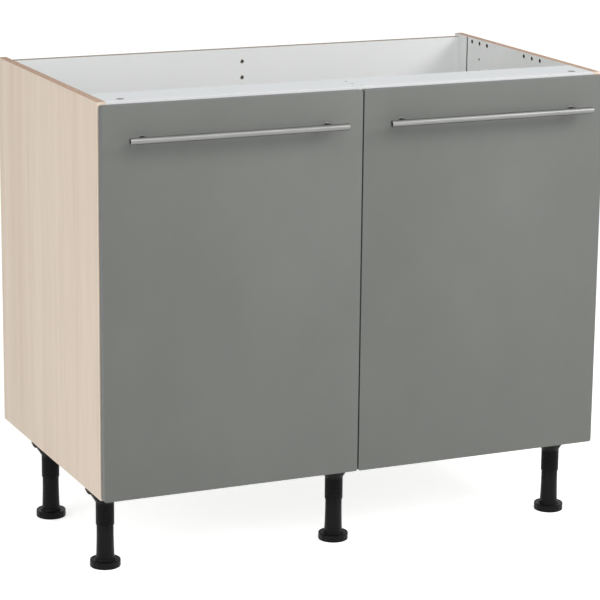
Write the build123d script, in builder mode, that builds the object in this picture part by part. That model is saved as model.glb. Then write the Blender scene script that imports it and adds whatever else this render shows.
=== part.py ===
"""Kitchen sink unit, two doors: an open-topped chipboard carcass on five levelling legs.

X runs to the right, Y to the back and Z up. The origin is on the floor, at the middle of the width
and of the depth over the handles. All sizes are in millimetres.
"""

from build123d import *
from math import atan2, copysign, degrees
import os

# ---- carcass ----------------------------------------------------------------------------------
WIDTH = 1000.0  # over the side panels
CARCASS_DEPTH = 560.0  # side panel with its edge band
CARCASS_HEIGHT = 720.0
BOARD = 16.0
BAND = 0.8  # edge band on the front edges
FRONT_RAIL_DEPTH = 90.0
REAR_RAIL_HEIGHT = 100.0
REAR_RAIL_DROP = 6.0  # top of the rear rail under the top of the side panels
GROOVE_WIDTH = 4.0  # for a thin back panel
GROOVE_DEPTH = 7.0
GROOVE_BACK = 53.0  # from the rear edge of the side panel to the groove

# ---- cam housings that pull the rails to the side panels ----------------------------------------
CAM_DIAMETER = 15.0
CAM_HEIGHT = 12.5
CAM_FROM_END = 34.0  # from the end of the board to the cam's axis
CAM_AIR = 0.1
CAM_SLOT_WIDTH = 2.0
CAM_SLOT_LENGTH = 10.0
CAM_SLOT_DEPTH = 2.5
FRONT_CAM_SETBACK = 22.0  # from the carcass front
REAR_CAM_DROP = 24.0  # under the top of the rear rail

# ---- drilled holes ----------------------------------------------------------------------------
SPARE_HOLE_SIDES = 10  # the spare holes are drawn with few sides
SPARE_HOLE_DIAMETER = 8.0  # rows in the side panels for other rails
SPARE_HOLE_DEPTH = 12.0
SPARE_HOLE_PITCH = 32.0
SPARE_HOLE_DROP = 8.0  # under the top of the side panels
SPARE_ROW_FRONT = 203.0  # first hole of the front row, from the front edge
SPARE_ROW_REAR = 420.0
SMALL_HOLE_DIAMETER = 5.0
SMALL_HOLE_DROPS = (40.0, 64.0)  # under the top, below the middle of the rear row
REAR_RAIL_HOLE_DIAMETER = 8.0
REAR_RAIL_HOLE_DROP = 26.0  # under the top of the rear rail
REAR_RAIL_HOLE_PITCH = 32.0
RAIL_HOLE_DIAMETER = 5.0  # fixing holes at the middle of the front rail
RAIL_HOLE_SETBACKS = (32.0, 59.0)
CATCH_HOLE_DIAMETER = 4.0
CATCH_HOLE_SETBACK = 11.0
CATCH_HOLE_PITCH = 16.0

# ---- doors ------------------------------------------------------------------------------------
DOOR_THICKNESS = 16.0
DOOR_BAND = 1.0
DOOR_AIR = 2.5  # between the back of a door and the carcass
DOOR_SIDE_INSET = 1.5
DOOR_GAP = 3.0  # between the doors
DOOR_TOP_DROP = 4.5
DOOR_BOTTOM_RISE = 1.5

# ---- handles ----------------------------------------------------------------------------------
BAR_DIAMETER = 12.0
BAR_LENGTH = 416.0
HANDLE_STANDOFF = 30.0  # from the door face to the bar's axis
HANDLE_DROP = 58.5  # from the top of the door to the bar's axis
POST_DIAMETER = 9.0
POST_PITCH = 352.0

# ---- hinges: plan sizes are (u, v), from the cabinet's side face inwards and from the back of the
# ---- closed door backwards; layers are half heights along Z about the hinge's middle
HINGE_FROM_END = 112.0  # from the top and bottom of the carcass to a hinge's middle
CUP_DIAMETER = 35.0
CUP_BORE_DEPTH = 12.7
CUP_TAB = 5.0  # door material left beside the cup
CUP_AIR = 0.1
CUP_DEPTH = 12.5
CUP_WALL = 0.8
CUP_FLOOR = 0.8
CUP_RIM = 0.4  # beyond the cup's wall
FLANGE_THICKNESS = 0.8
FLANGE_EAR_PITCH = 45.0
FLANGE_EAR_OFFSET = 9.5  # from the cup's axis towards the middle of the door
FLANGE_EAR_RADIUS = 6.0
ARM_PIVOT_OUTER = (35.0, 9.0)
ARM_PIVOT_INNER = (32.0, -7.0)
CUP_PIVOT_OUTER = (10.8, -3.9)
CUP_PIVOT_INNER = (12.4, -7.6)
OUTER_LINK_BENDS = ((16.1, -6.7), (22.1, -1.8))
INNER_LINK_BEND = (21.9, -9.1)
PIN_RADIUS = 1.0
PIN_AIR = 0.05  # radial
PIN_SIDES = 8  # rivets, their holes and the links' ends are drawn with few sides
OUTER_LINK_WIDTH = 2.8
INNER_LINK_WIDTH = 3.2
OUTER_EYE_RADIUS = 1.8
INNER_EYE_RADIUS = 2.6
OPEN_SLOT = ((-0.75, -1.0), (0.7, 0.9))  # reach of the free pivot's slot from its rest place
OPEN_SLOT_RADIUS = 1.4
INNER_LINK_HALF = 4.6
STUB_HALF = 4.8
CHEEK_HALF = 5.2
CHEEK_THICKNESS = 1.2
WEB_SHARES = (0.45, 0.8)  # stretch of the outer link's straight part that joins its cheeks
BOSS_HALF = 6.8
BOSS_END = 15.5
ARM_HALF = 7.0
ARM_THICKNESS = 1.2
ARM_EYE_RADIUS = 2.8
ARM_LENGTH = 64.0
ARM_TOP = 33.0  # closed face of the arm
ARM_EDGE = 21.5  # open edges of the arm
ARM_TOP_START = 13.5
ARM_NECK = ((37.5, 10.5), (37.7, 8.5), (34.7, -7.6), (29.3, -7.6), (28.0, 2.0))
ARM_SHOULDER = 11.0
PLATE_BASE = 3.0
PLATE_RIB_HALF = 6.6
PLATE_START = 18.0  # behind the carcass front
PLATE_LENGTH = 42.0
PLATE_WING_SPAN = 46.0
PLATE_WING_WIDTH = 14.0
PLATE_WING_CORNER = 4.0
PLATE_WING_SETBACK = 37.0

# ---- legs -------------------------------------------------------------------------------------
LEG_HEIGHT = 150.0
LEG_LEFT_INSET = 34.0  # from the cabinet's side face to the axes of the left legs
LEG_RIGHT_INSET = 51.0
LEG_MIDDLE_SHIFT = 17.0  # of the middle leg, to the left of the cabinet's middle
LEG_FRONT_SETBACK = 50.0  # of the middle and right legs, from the carcass front
LEG_FRONT_LEFT_SETBACK = 72.0
LEG_REAR_LEFT_SETBACK = 380.0
LEG_REAR_RIGHT_SETBACK = 500.0
LEG_PLATE_RADIUS = 33.0
LEG_PLATE_SIDES = 10
LEG_PLATE_THICKNESS = 4.5
TONGUE_WIDTH = 24.0
TONGUE_END_AIR = 1.0  # from the tongue's tip to the cabinet's side face
TONGUE_LIP = 7.0
TONGUE_LIP_HEIGHT = 9.0
GUSSET_THICKNESS = 5.0
GUSSET_HEIGHT = 13.5
GUSSET_REACH = 28.0  # from the leg's axis, along the plate
COLLAR_RADIUS = 17.8
COLLAR_BOTTOM = 120.0  # heights over the floor
SLEEVE_RADIUS = 16.9
SLEEVE_BOTTOM = 80.0
SOCKET_ROOF = 6.0  # solid under the panel
STEM_RADIUS = 13.4  # part of the tube that stays inside the sleeve
STEM_SIDES = 8
STEM_AIR = 0.08
STEM_END_AIR = 0.3
TUBE_RADIUS = 15.8
FOOT_RADIUS = 28.0
FOOT_HEIGHT = 15.0
FOOT_SIDES = 10
FOOT_EDGE = 1.5
FOOT_RING_RADIUS = 18.6
FOOT_RING_SIDES = 16
FOOT_RING_HEIGHT = 2.0

# ---- places worked out from the sizes ----------------------------------------------------------
HALF = WIDTH / 2
INNER_HALF = HALF - BOARD
OVERALL_DEPTH = CARCASS_DEPTH + DOOR_AIR + DOOR_THICKNESS + HANDLE_STANDOFF + BAR_DIAMETER / 2
BACK = OVERALL_DEPTH / 2
FRONT = BACK - CARCASS_DEPTH  # front edge of the carcass
DOOR_BACK = FRONT - DOOR_AIR
DOOR_FACE = DOOR_BACK - DOOR_THICKNESS
BASE = LEG_HEIGHT
TOP = BASE + CARCASS_HEIGHT
DOOR_TOP = TOP - DOOR_TOP_DROP
DOOR_BOTTOM = BASE + DOOR_BOTTOM_RISE
REAR_RAIL_TOP = TOP - REAR_RAIL_DROP
HANDLE_HEIGHT = DOOR_TOP - HANDLE_DROP
HINGE_HEIGHTS = {"lower": BASE + HINGE_FROM_END, "upper": TOP - HINGE_FROM_END}
SIDES = {"left": -1, "right": 1}
CUP_MIDDLE = DOOR_SIDE_INSET + CUP_TAB + CUP_DIAMETER / 2
CUP_RADIUS = CUP_DIAMETER / 2 - CUP_AIR
ARM_ROOF = ARM_TOP - ARM_THICKNESS
ARM_OUTLINE = (
    (ARM_TOP, ARM_LENGTH), (ARM_TOP, ARM_TOP_START), *ARM_NECK,
    (ARM_EDGE, ARM_SHOULDER), (ARM_EDGE, ARM_LENGTH),
)

# Planes on the rail faces that the cams are let into, each with its normal into the board, and the
# places of the cams on them
CAM_X = INNER_HALF - CAM_FROM_END
FRONT_RAIL_CAMS = (
    Plane(origin=(0, 0, TOP), x_dir=(1, 0, 0), z_dir=(0, 0, -1)),
    [(side * CAM_X, -(FRONT + FRONT_CAM_SETBACK)) for side in (-1, 1)],
)
REAR_RAIL_CAMS = (Plane.XZ.offset(-BACK), [(side * CAM_X, REAR_RAIL_TOP - REAR_CAM_DROP) for side in (-1, 1)])

# Leg axes, and the X of each tongue's tip: just inside the side face, or as long at the middle leg
LEFT_LEG_X = LEG_LEFT_INSET - HALF
RIGHT_LEG_X = HALF - LEG_RIGHT_INSET
TONGUE_TIP = HALF - TONGUE_END_AIR
MIDDLE_TONGUE_TIP = TONGUE_END_AIR - LEG_LEFT_INSET - LEG_MIDDLE_SHIFT
LEG_PLACES = {
    "front_left": (LEFT_LEG_X, FRONT + LEG_FRONT_LEFT_SETBACK, -TONGUE_TIP),
    "front_middle": (-LEG_MIDDLE_SHIFT, FRONT + LEG_FRONT_SETBACK, MIDDLE_TONGUE_TIP),
    "front_right": (RIGHT_LEG_X, FRONT + LEG_FRONT_SETBACK, TONGUE_TIP),
    "rear_left": (LEFT_LEG_X, FRONT + LEG_REAR_LEFT_SETBACK, -TONGUE_TIP),
    "rear_right": (RIGHT_LEG_X, FRONT + LEG_REAR_RIGHT_SETBACK, TONGUE_TIP),
}

os.makedirs("parts", exist_ok=True)


def plan(side, point):
    """Plan place of a hinge point given as (u, v), for the hinges of one side."""
    return (side * (HALF - point[0]), DOOR_BACK + point[1])


def save(builder, name):
    """Label a finished sub-part and write it to its own file."""
    builder.part.label = name
    export_step(builder.part, f"parts/{name}.step")


def rod(start, end, radius, mode=Mode.ADD):
    """Round bar between two points, in the part being built."""
    along = Vector(*end) - Vector(*start)
    with BuildSketch(Plane(origin=start, z_dir=along)) as end_face:
        Circle(radius)
    extrude(end_face.sketch, amount=along.length, mode=mode)


def slab(corner, opposite, mode=Mode.ADD):
    """Rectangular block between two opposite corners, in the part being built."""
    size = Vector(*opposite) - Vector(*corner)
    middle = (Vector(*opposite) + Vector(*corner)) * 0.5
    with BuildSketch(Plane(origin=(middle.X, middle.Y, min(corner[2], opposite[2])))) as foot_print:
        Rectangle(abs(size.X), abs(size.Y))
    extrude(foot_print.sketch, amount=abs(size.Z), mode=mode)


def drill(face, places, radius, depth):
    """Round holes at the places on a plane, along its normal, in the part being built."""
    with BuildSketch(face) as mouths:
        with Locations(*places):
            Circle(radius)
    extrude(mouths.sketch, amount=depth, mode=Mode.SUBTRACT)


def drill_spare(face, places, radius):
    """Blind holes of few sides at the places on a plane, along its normal, in the part being built."""
    with BuildSketch(face) as mouths:
        with Locations(*places):
            RegularPolygon(radius, SPARE_HOLE_SIDES)
    extrude(mouths.sketch, amount=SPARE_HOLE_DEPTH, mode=Mode.SUBTRACT)


# ---- side panels and their edge bands -----------------------------------------------------------
for name, side in SIDES.items():
    inner, outer = side * INNER_HALF, side * HALF
    inner_face = Plane(origin=(inner, 0, 0), x_dir=(0, side, 0), z_dir=(side, 0, 0))
    rows = [(side * (FRONT + start + step * SPARE_HOLE_PITCH), TOP - SPARE_HOLE_DROP)
            for start in (SPARE_ROW_FRONT, SPARE_ROW_REAR) for step in range(3)]
    small = [(side * (FRONT + SPARE_ROW_REAR + SPARE_HOLE_PITCH), TOP - drop) for drop in SMALL_HOLE_DROPS]

    with BuildPart() as side_panel:
        slab((inner, FRONT + BAND, BASE), (outer, BACK, TOP))
        slab((inner, BACK - GROOVE_BACK - GROOVE_WIDTH, BASE),
             (inner + side * GROOVE_DEPTH, BACK - GROOVE_BACK, TOP), mode=Mode.SUBTRACT)
        drill_spare(inner_face, rows, SPARE_HOLE_DIAMETER / 2)
        drill_spare(inner_face, small, SMALL_HOLE_DIAMETER / 2)
    save(side_panel, f"{name}_side_panel")

    with BuildPart() as side_edge_band:
        slab((inner, FRONT, BASE), (outer, FRONT + BAND, TOP))
    save(side_edge_band, f"{name}_side_edge_band")


# ---- bottom panel, rails and their edge bands ---------------------------------------------------
with BuildPart() as bottom_panel:
    slab((-INNER_HALF, FRONT + BAND, BASE), (INNER_HALF, BACK, BASE + BOARD))
save(bottom_panel, "bottom_panel")

with BuildPart() as bottom_edge_band:
    slab((-INNER_HALF, FRONT, BASE), (INNER_HALF, FRONT + BAND, BASE + BOARD))
save(bottom_edge_band, "bottom_edge_band")

with BuildPart() as front_top_rail:
    slab((-INNER_HALF, FRONT + BAND, TOP - BOARD), (INNER_HALF, FRONT + FRONT_RAIL_DEPTH, TOP))
    drill(*FRONT_RAIL_CAMS, CAM_DIAMETER / 2, CAM_HEIGHT)
    rail_underside = Plane.XY.offset(TOP - BOARD)
    drill(rail_underside, [(0, FRONT + setback) for setback in RAIL_HOLE_SETBACKS],
          RAIL_HOLE_DIAMETER / 2, BOARD)
    drill(rail_underside, [(side * CATCH_HOLE_PITCH / 2, FRONT + CATCH_HOLE_SETBACK) for side in (-1, 1)],
          CATCH_HOLE_DIAMETER / 2, BOARD)
save(front_top_rail, "front_top_rail")

with BuildPart() as front_rail_edge_band:
    slab((-INNER_HALF, FRONT, TOP - BOARD), (INNER_HALF, FRONT + BAND, TOP))
save(front_rail_edge_band, "front_rail_edge_band")

with BuildPart() as rear_top_rail:
    slab((-INNER_HALF, BACK - BOARD, REAR_RAIL_TOP - REAR_RAIL_HEIGHT), (INNER_HALF, BACK, REAR_RAIL_TOP))
    drill(*REAR_RAIL_CAMS, CAM_DIAMETER / 2, CAM_HEIGHT)
    drill(Plane.XZ.offset(-BACK),
          [(0, REAR_RAIL_TOP - REAR_RAIL_HOLE_DROP - step * REAR_RAIL_HOLE_PITCH) for step in (0, 1)],
          REAR_RAIL_HOLE_DIAMETER / 2, BOARD)
save(rear_top_rail, "rear_top_rail")


with BuildPart() as cam_housings:
    for cam_face, cam_places in (FRONT_RAIL_CAMS, REAR_RAIL_CAMS):
        with BuildSketch(cam_face):
            with Locations(*cam_places):
                Circle(CAM_DIAMETER / 2 - CAM_AIR)
        extrude(amount=CAM_HEIGHT)
        with BuildSketch(cam_face):
            with Locations(*cam_places):
                Rectangle(CAM_SLOT_LENGTH, CAM_SLOT_WIDTH)
        extrude(amount=CAM_SLOT_DEPTH, mode=Mode.SUBTRACT)
save(cam_housings, "cam_housings")


# ---- doors, their edge bands and handles --------------------------------------------------------
door_back_face = Plane.XZ.offset(-DOOR_BACK)  # its normal points out of the door's front
for name, side in SIDES.items():
    hinge_edge = side * (HALF - DOOR_SIDE_INSET)
    free_edge = side * DOOR_GAP / 2
    middle = (hinge_edge + free_edge) / 2
    core = ((free_edge + side * DOOR_BAND, DOOR_FACE, DOOR_BOTTOM + DOOR_BAND),
            (hinge_edge - side * DOOR_BAND, DOOR_BACK, DOOR_TOP - DOOR_BAND))

    with BuildPart() as door_panel:
        slab(*core)
        cup_x = plan(side, (CUP_MIDDLE, 0))[0]
        drill(door_back_face, [(cup_x, height) for height in HINGE_HEIGHTS.values()],
              CUP_DIAMETER / 2, CUP_BORE_DEPTH)
    save(door_panel, f"{name}_door_panel")

    with BuildPart() as door_edge_band:
        slab((free_edge, DOOR_FACE, DOOR_BOTTOM), (hinge_edge, DOOR_BACK, DOOR_TOP))
        slab(*core, mode=Mode.SUBTRACT)
    save(door_edge_band, f"{name}_door_edge_band")

    bar_y = DOOR_FACE - HANDLE_STANDOFF
    with BuildPart() as handle:
        rod((middle - BAR_LENGTH / 2, bar_y, HANDLE_HEIGHT),
            (middle + BAR_LENGTH / 2, bar_y, HANDLE_HEIGHT), BAR_DIAMETER / 2)
        for x in (middle - POST_PITCH / 2, middle + POST_PITCH / 2):
            rod((x, DOOR_FACE, HANDLE_HEIGHT), (x, bar_y, HANDLE_HEIGHT), POST_DIAMETER / 2)
    save(handle, f"{name}_handle")


# ---- concealed hinges: arm and plate stay on the carcass, the cup turns with the door -----------
def link_outline(points, width, end_radius, mode=Mode.ADD):
    """Flat link shape along the points, wider at its two ends, in the sketch being drawn."""
    for start, end in zip(points, points[1:]):
        along = Vector(*end) - Vector(*start)
        centre = (Vector(*start) + Vector(*end)) * 0.5
        with Locations((centre.X, centre.Y)):
            Rectangle(along.length, width, rotation=degrees(atan2(along.Y, along.X)), mode=mode)
    with Locations(*points[1:-1]):
        RegularPolygon(width / 2, PIN_SIDES, major_radius=False, mode=mode)
    with Locations(points[0], points[-1]):
        RegularPolygon(end_radius, PIN_SIDES, major_radius=False, mode=mode)


def pin_hole():
    """Hole for a rivet to turn in, in the sketch being drawn."""
    RegularPolygon(PIN_RADIUS + PIN_AIR, PIN_SIDES, major_radius=False, mode=Mode.SUBTRACT)


def rivet(place, low, high):
    """Rivet along Z at a plan place, in the part being built."""
    with BuildSketch(Plane.XY.offset(low)) as rivet_end:
        with Locations(place):
            RegularPolygon(PIN_RADIUS, PIN_SIDES)
    extrude(rivet_end.sketch, amount=high - low)


def hinge_cup(side, height):
    """Cup with its flange, two bosses in the hollow and the rivets that the links turn on."""
    cup_x = plan(side, (CUP_MIDDLE, 0))[0]
    ear_x = plan(side, (CUP_MIDDLE + FLANGE_EAR_OFFSET, 0))[0]
    boss_tip, boss_root = plan(side, (BOSS_END, 0))[0], plan(side, (DOOR_SIDE_INSET, 0))[0]
    flange_face = door_back_face.offset(-FLANGE_THICKNESS)
    with BuildSketch(door_back_face) as body:
        with Locations((cup_x, height)):
            Circle(CUP_RADIUS)
    extrude(body.sketch, amount=CUP_DEPTH)
    with BuildSketch(flange_face) as flange:
        with Locations((cup_x, height)):
            Circle(CUP_RADIUS + CUP_RIM)
        with Locations(*[(ear_x, height + end * FLANGE_EAR_PITCH / 2) for end in (-1, 1)]):
            RegularPolygon(FLANGE_EAR_RADIUS, PIN_SIDES)
        make_hull()
    extrude(flange.sketch, amount=FLANGE_THICKNESS)
    with BuildSketch(flange_face) as hollow:
        with Locations((cup_x, height)):
            Circle(CUP_RADIUS - CUP_WALL)
        for end in (-1, 1):
            with Locations(((boss_tip + boss_root) / 2, height + end * (BOSS_HALF + CUP_RADIUS / 2))):
                Rectangle(abs(boss_tip - boss_root), CUP_RADIUS, mode=Mode.SUBTRACT)
    extrude(hollow.sketch, amount=FLANGE_THICKNESS + CUP_DEPTH - CUP_FLOOR, mode=Mode.SUBTRACT)
    rivet(plan(side, CUP_PIVOT_INNER), height - BOSS_HALF, height + BOSS_HALF)
    rivet(plan(side, CUP_PIVOT_OUTER), height - BOSS_HALF, height - STUB_HALF)
    rivet(plan(side, CUP_PIVOT_OUTER), height + STUB_HALF, height + BOSS_HALF)


def hinge_arm(side, height):
    """Channel-shaped arm with the two rivets between its cheeks."""
    for low in (height - ARM_HALF - ARM_THICKNESS, height + ARM_HALF):
        with BuildSketch(Plane.XY.offset(low)) as cheek:
            Polygon(*[plan(side, point) for point in ARM_OUTLINE], align=None)
            with Locations(plan(side, ARM_PIVOT_OUTER), plan(side, ARM_PIVOT_INNER)):
                RegularPolygon(ARM_EYE_RADIUS, PIN_SIDES)
        extrude(cheek.sketch, amount=ARM_THICKNESS)
    slab((*plan(side, (ARM_ROOF, ARM_TOP_START)), height - ARM_HALF),
         (*plan(side, (ARM_TOP, ARM_LENGTH)), height + ARM_HALF))
    for pivot in (ARM_PIVOT_OUTER, ARM_PIVOT_INNER):
        rivet(plan(side, pivot), height - ARM_HALF, height + ARM_HALF)


def hinge_plate(side, height):
    """Mounting plate on the side panel: two wings and the rib that the arm sits on."""
    base_middle = FRONT + PLATE_START + PLATE_LENGTH / 2
    with BuildSketch(Plane.YZ.offset(side * INNER_HALF)) as base:
        with Locations((base_middle, height)):
            Rectangle(PLATE_LENGTH, 2 * PLATE_RIB_HALF)
        with Locations((FRONT + PLATE_WING_SETBACK, height)):
            Rectangle(PLATE_WING_WIDTH, PLATE_WING_SPAN)
        chamfer(base.vertices().group_by(Axis.Z)[0] + base.vertices().group_by(Axis.Z)[-1], PLATE_WING_CORNER)
    extrude(base.sketch, amount=-side * PLATE_BASE)
    slab((side * INNER_HALF, FRONT + PLATE_START, height - PLATE_RIB_HALF),
         (side * (HALF - ARM_ROOF), FRONT + PLATE_START + PLATE_LENGTH, height + PLATE_RIB_HALF))


def outer_link(side, height):
    """Two bent cheeks joined by a web; they straddle the inner link."""
    bends = [plan(side, point) for point in (CUP_PIVOT_OUTER, *OUTER_LINK_BENDS, ARM_PIVOT_OUTER)]
    root, tip = Vector(*bends[-2]), Vector(*bends[-1])
    web_middle = root + (tip - root) * ((WEB_SHARES[0] + WEB_SHARES[1]) / 2)
    for low in (height - CHEEK_HALF - CHEEK_THICKNESS, height + CHEEK_HALF):
        with BuildSketch(Plane.XY.offset(low)) as cheek:
            link_outline(bends, OUTER_LINK_WIDTH, OUTER_EYE_RADIUS)
            with Locations(bends[0], bends[-1]):
                pin_hole()
        extrude(cheek.sketch, amount=CHEEK_THICKNESS)
    with BuildSketch(Plane.XY.offset(height - CHEEK_HALF)) as web:
        with Locations((web_middle.X, web_middle.Y)):
            Rectangle((tip - root).length * (WEB_SHARES[1] - WEB_SHARES[0]), CHEEK_THICKNESS,
                      rotation=degrees(atan2((tip - root).Y, (tip - root).X)))
    extrude(web.sketch, amount=2 * CHEEK_HALF)


def inner_link(side, height):
    """Thick bent link; the slot at its cup end is the pivot that stays free."""
    slot = [plan(side, (CUP_PIVOT_INNER[0] + reach[0], CUP_PIVOT_INNER[1] + reach[1])) for reach in OPEN_SLOT]
    bends = [plan(side, point) for point in (CUP_PIVOT_INNER, INNER_LINK_BEND, ARM_PIVOT_INNER)]
    with BuildSketch(Plane.XY.offset(height - INNER_LINK_HALF)) as link:
        link_outline(bends, INNER_LINK_WIDTH, INNER_EYE_RADIUS)
        link_outline(slot, 2 * INNER_EYE_RADIUS, INNER_EYE_RADIUS)
        with Locations(bends[-1]):
            pin_hole()
        link_outline(slot, 2 * OPEN_SLOT_RADIUS, OPEN_SLOT_RADIUS, mode=Mode.SUBTRACT)
    extrude(link.sketch, amount=2 * INNER_LINK_HALF)


HINGE_PIECES = {
    "hinge_cups": hinge_cup,
    "hinge_arms": hinge_arm,
    "hinge_plates": hinge_plate,
    "outer_links": outer_link,
    "inner_links": inner_link,
}
for name, side in SIDES.items():
    for piece_name, build_piece in HINGE_PIECES.items():
        with BuildPart() as pair:
            for height in HINGE_HEIGHTS.values():
                build_piece(side, height)
        save(pair, f"{name}_{piece_name}")


# ---- legs ---------------------------------------------------------------------------------------
def column(x, y, radius, low, high, mode=Mode.ADD):
    """Upright round piece about a leg's axis, in the part being built."""
    rod((x, y, low), (x, y, high), radius, mode=mode)


def many_sided(x, y, radius, sides, low, high, mode=Mode.ADD):
    """Upright piece of few sides about a leg's axis, in the part being built."""
    with BuildSketch(Plane.XY.offset(low)) as end_face:
        with Locations((x, y)):
            RegularPolygon(radius, sides)
    extrude(end_face.sketch, amount=high - low, mode=mode)


with BuildPart() as leg_sockets:
    for x, y, tongue_tip in LEG_PLACES.values():
        plate_under = BASE - LEG_PLATE_THICKNESS
        lip_root = tongue_tip + copysign(TONGUE_LIP, x - tongue_tip)
        many_sided(x, y, LEG_PLATE_RADIUS, LEG_PLATE_SIDES, plate_under, BASE)
        column(x, y, COLLAR_RADIUS, COLLAR_BOTTOM, plate_under)
        column(x, y, SLEEVE_RADIUS, SLEEVE_BOTTOM, COLLAR_BOTTOM)
        slab((x, y - TONGUE_WIDTH / 2, plate_under), (tongue_tip, y + TONGUE_WIDTH / 2, BASE))
        slab((lip_root, y - TONGUE_WIDTH / 2, BASE - TONGUE_LIP_HEIGHT),
             (tongue_tip, y + TONGUE_WIDTH / 2, BASE))
        with BuildSketch(Plane.XZ.offset(-y)) as gusset:
            Polygon((x - GUSSET_REACH, plate_under), (x - COLLAR_RADIUS, plate_under - GUSSET_HEIGHT),
                    (x + COLLAR_RADIUS, plate_under - GUSSET_HEIGHT), (x + GUSSET_REACH, plate_under),
                    align=None)
        extrude(gusset.sketch, amount=GUSSET_THICKNESS / 2, both=True)
        many_sided(x, y, STEM_RADIUS + STEM_AIR, STEM_SIDES, SLEEVE_BOTTOM, BASE - SOCKET_ROOF,
                   mode=Mode.SUBTRACT)
save(leg_sockets, "leg_sockets")

for name, (x, y, tongue_tip) in LEG_PLACES.items():
    with BuildPart() as leg_tube:
        column(x, y, TUBE_RADIUS, FOOT_HEIGHT + FOOT_RING_HEIGHT, SLEEVE_BOTTOM - STEM_END_AIR)
        many_sided(x, y, STEM_RADIUS, STEM_SIDES,
                   SLEEVE_BOTTOM - STEM_END_AIR, BASE - SOCKET_ROOF - STEM_END_AIR)
    save(leg_tube, f"{name}_leg_tube")

    with BuildPart() as leg_foot:
        many_sided(x, y, FOOT_RADIUS, FOOT_SIDES, 0, FOOT_HEIGHT)
        chamfer(leg_foot.faces().sort_by(Axis.Z)[-1].edges(), FOOT_EDGE)
        many_sided(x, y, FOOT_RING_RADIUS, FOOT_RING_SIDES, FOOT_HEIGHT, FOOT_HEIGHT + FOOT_RING_HEIGHT)
    save(leg_foot, f"{name}_leg_foot")
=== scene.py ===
"""Looks of the two-door kitchen sink unit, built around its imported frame.

X runs to the right, Y to the back and Z up, in metres. Sizes named here are in millimetres and are
turned into metres with MM.
"""

from math import cos, pi, radians, sin

import bmesh
import bpy
from mathutils import Matrix, Vector


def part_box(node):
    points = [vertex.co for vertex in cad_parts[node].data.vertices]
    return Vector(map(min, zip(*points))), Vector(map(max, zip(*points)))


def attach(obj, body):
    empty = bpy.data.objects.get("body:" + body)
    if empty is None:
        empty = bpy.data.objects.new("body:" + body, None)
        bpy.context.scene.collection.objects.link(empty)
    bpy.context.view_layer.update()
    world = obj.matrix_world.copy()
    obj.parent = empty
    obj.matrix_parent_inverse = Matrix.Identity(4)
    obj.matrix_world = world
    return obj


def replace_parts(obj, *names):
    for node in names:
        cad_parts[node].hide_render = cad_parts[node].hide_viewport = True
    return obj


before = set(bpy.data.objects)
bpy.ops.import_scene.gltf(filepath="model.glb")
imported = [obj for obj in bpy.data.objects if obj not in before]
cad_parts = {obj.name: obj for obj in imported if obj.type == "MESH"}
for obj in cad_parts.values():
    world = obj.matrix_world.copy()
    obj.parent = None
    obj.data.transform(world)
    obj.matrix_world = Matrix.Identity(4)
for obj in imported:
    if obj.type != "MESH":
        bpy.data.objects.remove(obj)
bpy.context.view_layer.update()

MM = 0.001
SIDES = {"left": -1, "right": 1}
# Legs, with the way in X that the tongue of each mount points.
LEGS = {"front_left": -1, "front_middle": -1, "front_right": 1, "rear_left": -1, "rear_right": 1}

# ---- camera, solved from the straight edges of the photograph -----------------------------------
CAMERA_PLACE = (-1.9665, -4.3640, 1.5993)
CAMERA_YAW = 0.4235  # radians to the right of straight back
CAMERA_PITCH = 0.2423  # radians down
CAMERA_ROLL = -0.0107
CAMERA_LENS = 153.49
SENSOR_WIDTH = 36.0
CLIP_END = 200

# ---- lights and floor, in metres and watts ------------------------------------------------------
SKY_STRENGTH = 0.52
SKY_COLOUR = (254, 254, 252)
SOFT_BOXES = (  # name, place, size and power
    ("key", (1.7, -1.7, 2.0), 0.9, 26.0),
    ("top", (-0.3, -1.75, 1.95), 1.4, 18.5),
    ("fill", (-3.2, -1.2, 1.6), 2.2, 29.0),
    ("low", (2.0, -3.2, 0.45), 0.8, 9.0),  # shines off the tops of the doors
)
LIGHT_TARGET = (0.0, 0.0, 0.45)
FLOOR_SIZE = 60.0
FLOOR_COLOUR = (244, 244, 243)
FLOOR_GLOW = 0.6  # what the camera sees on top of the lit floor

# ---- colours, as the eye reads them (0 to 255) --------------------------------------------------
WOOD_LIGHT = (230, 214, 197)
WOOD_MID = (219, 201, 183)
WOOD_DARK = (199, 176, 156)
WOOD_HIGHLIGHT = (243, 229, 214)  # painted highlight along the front corner of the side panels
CHIP_LIGHT = (212, 184, 162)
CHIP_MID = (186, 156, 136)
CHIP_DARK = (140, 110, 92)
RAIL_CHIP = (150, 144, 136)  # what the raw edges of the white boards lean to
WHITE_LIGHT = (232, 233, 233)
WHITE_DARK = (224, 226, 225)
WHITE_SHADED_COOL = (197, 201, 205)  # the front rail, darker and cooler: painted shade on its top face
WHITE_BAND_LIGHT = (223, 224, 224)
WHITE_BAND_DARK = (215, 216, 216)
GREY_LIGHT = (105, 107, 104)
GREY_DARK = (101, 103, 100)
# The door edges: painted shade, darker than the face, for the shade in the gaps beside the doors.
GREY_EDGE_SHADE = (88, 92, 93)
GREY_EDGE_SHADE_LIGHT = (93, 96, 96)
STEEL_LIGHT = (164, 164, 162)
STEEL_DARK = (96, 96, 95)
STEEL_EDGE = (70, 70, 70)  # what steel tends to at a glancing view
NICKEL_LIGHT = (196, 192, 186)
NICKEL_DARK = (168, 165, 160)
ZINC_LIGHT = (128, 128, 126)
ZINC_DARK = (88, 88, 87)
BLACK_LIGHT = (16, 16, 17)
BLACK_DARK = (8, 8, 9)
# Painted shade: nearly black discs set in the recessed ends of the handle bars.
END_SHADE_LIGHT = (34, 33, 32)
END_SHADE_DARK = (24, 24, 24)
DRILLING_SHADE = (58, 52, 48)  # painted shade inside the drillings
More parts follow.
